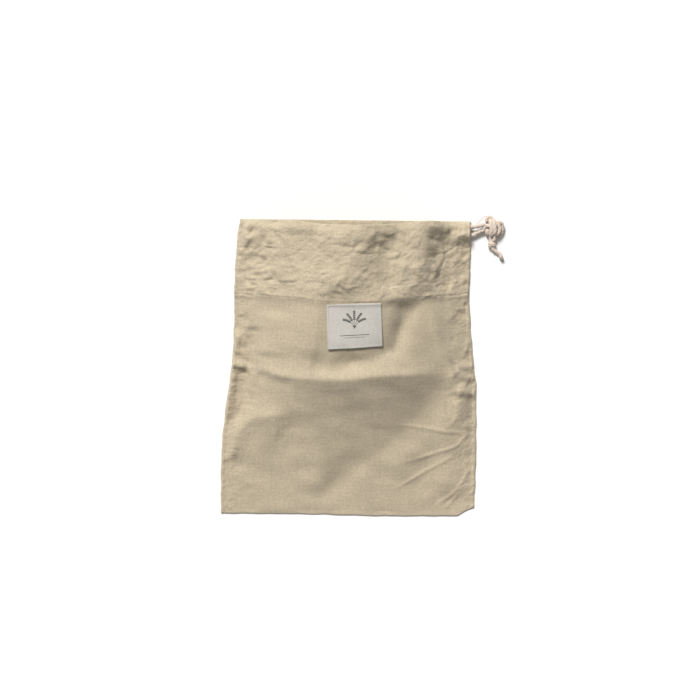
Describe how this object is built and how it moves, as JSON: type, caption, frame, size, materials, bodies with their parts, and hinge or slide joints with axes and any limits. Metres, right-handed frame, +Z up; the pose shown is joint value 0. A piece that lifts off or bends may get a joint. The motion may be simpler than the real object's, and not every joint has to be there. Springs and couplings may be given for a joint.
{
  "type": "linen bread bag with a drawstring",
  "caption": "Flat rectangular linen bag with a deep hem, a drawstring in a channel round its mouth and a small plain label with a wheat motif; it lies open, domed as if over a loaf.",
  "frame": {"origin": "middle of the bag's outline, at the surface it lies on", "axes": "+Y from the base to the mouth, +Z up out of the front, +X to the side that the drawstring leaves"},
  "size_m": [0.373, 0.3915, 0.0696],
  "materials": {
    "linen": "plain-woven natural undyed linen, matt, slubby, lightly creased",
    "label_cotton": "pale woven cotton, matt",
    "cord_cotton": "soft twisted cotton cord, matt, slightly hairy"
  },
  "bodies": {
    "root": {"front_panel": "linen", "back_panel": "linen", "label": "label_cotton", "drawstring": "cord_cotton", "tie_knot": "cord_cotton", "tie_end": "cord_cotton", "tie_tail": "cord_cotton", "stopper_knot": "cord_cotton", "tie_tip": "cord_cotton"}
  },
  "joints": []
}
